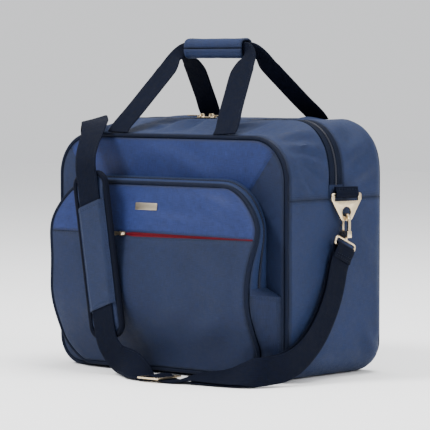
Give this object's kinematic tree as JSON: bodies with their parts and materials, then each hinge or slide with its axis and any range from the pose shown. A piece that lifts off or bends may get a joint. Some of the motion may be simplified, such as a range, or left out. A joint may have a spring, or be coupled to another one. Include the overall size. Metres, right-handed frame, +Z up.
{
  "type": "flight bag",
  "caption": "Soft cabin flight bag: zipped main compartment, zipped front pocket, paired webbing carry handles and a clip-on shoulder strap with a sliding pad.",
  "frame": {"origin": "floor level at mid-width, straight below the main zip", "axes": "+Z up, +Y to the back panel, +X to the right seen from the front pocket's side"},
  "size_m": [0.4608, 0.3187, 0.462],
  "materials": {
    "body_cloth": "satin nylon weave",
    "royal_cloth": "satin nylon weave",
    "grey_cloth": "matte nylon weave",
    "piping": "bound welt",
    "webbing": "ribbed webbing",
    "pad_cloth": "padded nylon weave",
    "pad_binding": "ribbed tape",
    "zip_tape": "fine woven tape",
    "zip_coil": "moulded coil",
    "accent_tape": "woven tape",
    "board": "matte sheet",
    "gold_metal": "satin plated",
    "badge_plate": "satin plated"
  },
  "bodies": {
    "root": {"lower_gusset": "body_cloth", "upper_gusset_front": "body_cloth", "upper_gusset_rear": "body_cloth", "back_panel": "body_cloth", "pocket_gusset_front": "body_cloth", "pocket_gusset_rear": "body_cloth", "front_panel": "royal_cloth", "pocket_face_upper": "royal_cloth", "pocket_face_lower": "grey_cloth", "pocket_gusset_lower": "grey_cloth", "front_piping": "piping", "pocket_piping": "piping", "shoulder_strap": "webbing", "strap_return": "webbing", "side_tab_right": "webbing", "side_tab_left": "webbing", "main_zip_tape_front": "zip_tape", "main_zip_tape_rear": "zip_tape", "main_zip_coil": "zip_coil", "pocket_zip_coil": "zip_coil", "accent_zip_tape": "accent_tape", "base_board": "board", "strap_adjuster": "gold_metal", "badge": "badge_plate"},
    "main_slider_a": {"main_zip_a_slider": "gold_metal"},
    "main_puller_a": {"main_zip_a_puller": "gold_metal"},
    "main_slider_b": {"main_zip_b_slider": "gold_metal"},
    "main_puller_b": {"main_zip_b_puller": "gold_metal"},
    "pocket_slider_a": {"pocket_zip_a_slider": "gold_metal"},
    "pocket_puller_a": {"pocket_zip_a_puller": "gold_metal"},
    "pocket_slider_b": {"pocket_zip_b_slider": "gold_metal"},
    "pocket_puller_b": {"pocket_zip_b_puller": "gold_metal"},
    "accent_slider": {"accent_zip_slider": "gold_metal"},
    "accent_puller": {"accent_zip_puller": "gold_metal"},
    "handle_front": {"handle_front": "webbing", "grip_wrap": "body_cloth"},
    "grip_flap": {"grip_flap": "body_cloth"},
    "handle_rear": {"handle_rear": "webbing"},
    "ring_right": {"ring_right": "gold_metal"},
    "strap_end_right": {"eye_right": "gold_metal", "strap_end_right": "webbing"},
    "hook_right": {"hook_right": "gold_metal"},
    "gate_right": {"gate_right": "gold_metal"},
    "ring_left": {"ring_left": "gold_metal"},
    "strap_end_left": {"eye_left": "gold_metal", "strap_end_left": "webbing"},
    "hook_left": {"hook_left": "gold_metal"},
    "gate_left": {"gate_left": "gold_metal"},
    "shoulder_pad": {"shoulder_pad": "pad_cloth", "pad_binding": "pad_binding", "pad_sleeve": "pad_cloth"}
  },
  "joints": [
    {"name": "main_slider_a_slide", "type": "slide", "parent": "root", "child": "main_slider_a", "axis": [-1, 0, 0], "range_m": [0, 0.1]},
    {"name": "main_slider_b_slide", "type": "slide", "parent": "root", "child": "main_slider_b", "axis": [1, 0, 0], "range_m": [0, 0.1]},
    {"name": "main_puller_a_hinge", "type": "hinge", "parent": "main_slider_a", "child": "main_puller_a", "pos_m": [-0.032, 0, 0.3539], "axis": [0, 1, 0], "range_deg": [0, 90]},
    {"name": "main_puller_b_hinge", "type": "hinge", "parent": "main_slider_b", "child": "main_puller_b", "pos_m": [-0.014, 0, 0.3539], "axis": [0, -1, 0], "range_deg": [0, 90]},
    {"name": "pocket_slider_a_slide", "type": "slide", "parent": "root", "child": "pocket_slider_a", "axis": [-0.002, -0.049, 0.9988], "range_m": [0, 0.02]},
    {"name": "pocket_slider_b_slide", "type": "slide", "parent": "root", "child": "pocket_slider_b", "axis": [-0.071, -0.2072, 0.9757], "range_m": [0, 0.008]},
    {"name": "pocket_puller_a_hinge", "type": "hinge", "parent": "pocket_slider_a", "child": "pocket_puller_a", "pos_m": [-0.18312, -0.12448, 0.10721], "axis": [0.1387, 0.9891, 0.0488], "range_deg": [0, 120]},
    {"name": "pocket_puller_b_hinge", "type": "hinge", "parent": "pocket_slider_b", "child": "pocket_puller_b", "pos_m": [-0.18278, -0.11421, 0.04994], "axis": [0.2549, 0.9419, 0.2186], "range_deg": [0, 6]},
    {"name": "accent_slider_slide", "type": "slide", "parent": "root", "child": "accent_slider", "axis": [1, 0, 0], "range_m": [0, 0.2]},
    {"name": "accent_puller_hinge", "type": "hinge", "parent": "accent_slider", "child": "accent_puller", "pos_m": [-0.05, -0.14855, 0.193], "axis": [0, 0, 1], "range_deg": [0, 35]},
    {"name": "handle_front_swing", "type": "hinge", "parent": "root", "child": "handle_front", "pos_m": [0, -0.103, 0.3314], "axis": [1, 0, 0], "range_deg": [0, 40], "deforming": ["grip_wrap"]},
    {"name": "handle_rear_swing", "type": "hinge", "parent": "root", "child": "handle_rear", "pos_m": [0, 0.1, 0.3484], "axis": [-1, 0, 0], "range_deg": [0, 160], "deforming": ["grip_flap"]},
    {"name": "grip_flap_hinge", "type": "hinge", "parent": "handle_front", "child": "grip_flap", "pos_m": [-0.0025, 0.009, 0.4605], "axis": [-1, 0, 0], "range_deg": [0, 110]},
    {"name": "ring_right_swing", "type": "hinge", "parent": "root", "child": "ring_right", "pos_m": [0.2205, 0.008, 0.25], "axis": [-0.2588, -0.9659, 0], "range_deg": [0, 30]},
    {"name": "strap_end_right_swing", "type": "hinge", "parent": "root", "child": "strap_end_right", "pos_m": [0.2205, 0.008, 0.25], "axis": [-0.2588, -0.9659, 0], "range_deg": [0, 30]},
    {"name": "hook_right_swivel", "type": "hinge", "parent": "strap_end_right", "child": "hook_right", "pos_m": [0.2205, 0.008, 0.2203], "axis": [0, 0, 1], "range_deg": [-12, 12]},
    {"name": "gate_right_slide", "type": "slide", "parent": "hook_right", "child": "gate_right", "axis": [0, 0, -1], "range_m": [0, 0.005], "stiffness_N_per_m": 600},
    {"name": "ring_left_swing", "type": "hinge", "parent": "root", "child": "ring_left", "pos_m": [-0.2205, 0.008, 0.25], "axis": [0.2588, -0.9659, 0], "range_deg": [0, 15]},
    {"name": "strap_end_left_swing", "type": "hinge", "parent": "root", "child": "strap_end_left", "pos_m": [-0.2205, 0.008, 0.25], "axis": [0.2588, -0.9659, 0], "range_deg": [0, 15]},
    {"name": "hook_left_swivel", "type": "hinge", "parent": "strap_end_left", "child": "hook_left", "pos_m": [-0.2205, 0.008, 0.2797], "axis": [0.1504, -0.5, 0.8529], "range_deg": [-5, 12]},
    {"name": "gate_left_slide", "type": "slide", "parent": "hook_left", "child": "gate_left", "axis": [0.1504, -0.5, 0.8529], "range_m": [0, 0.005], "stiffness_N_per_m": 600},
    {"name": "shoulder_pad_slide", "type": "slide", "parent": "root", "child": "shoulder_pad", "axis": [-0.1564, 0, 0.9877], "range_m": [-0.01, 0.006]}
  ],
  "couplings": [
    {"joint": "ring_right_swing", "follows": "strap_end_right_swing", "ratio": 1},
    {"joint": "ring_left_swing", "follows": "strap_end_left_swing", "ratio": 1}
  ]
}
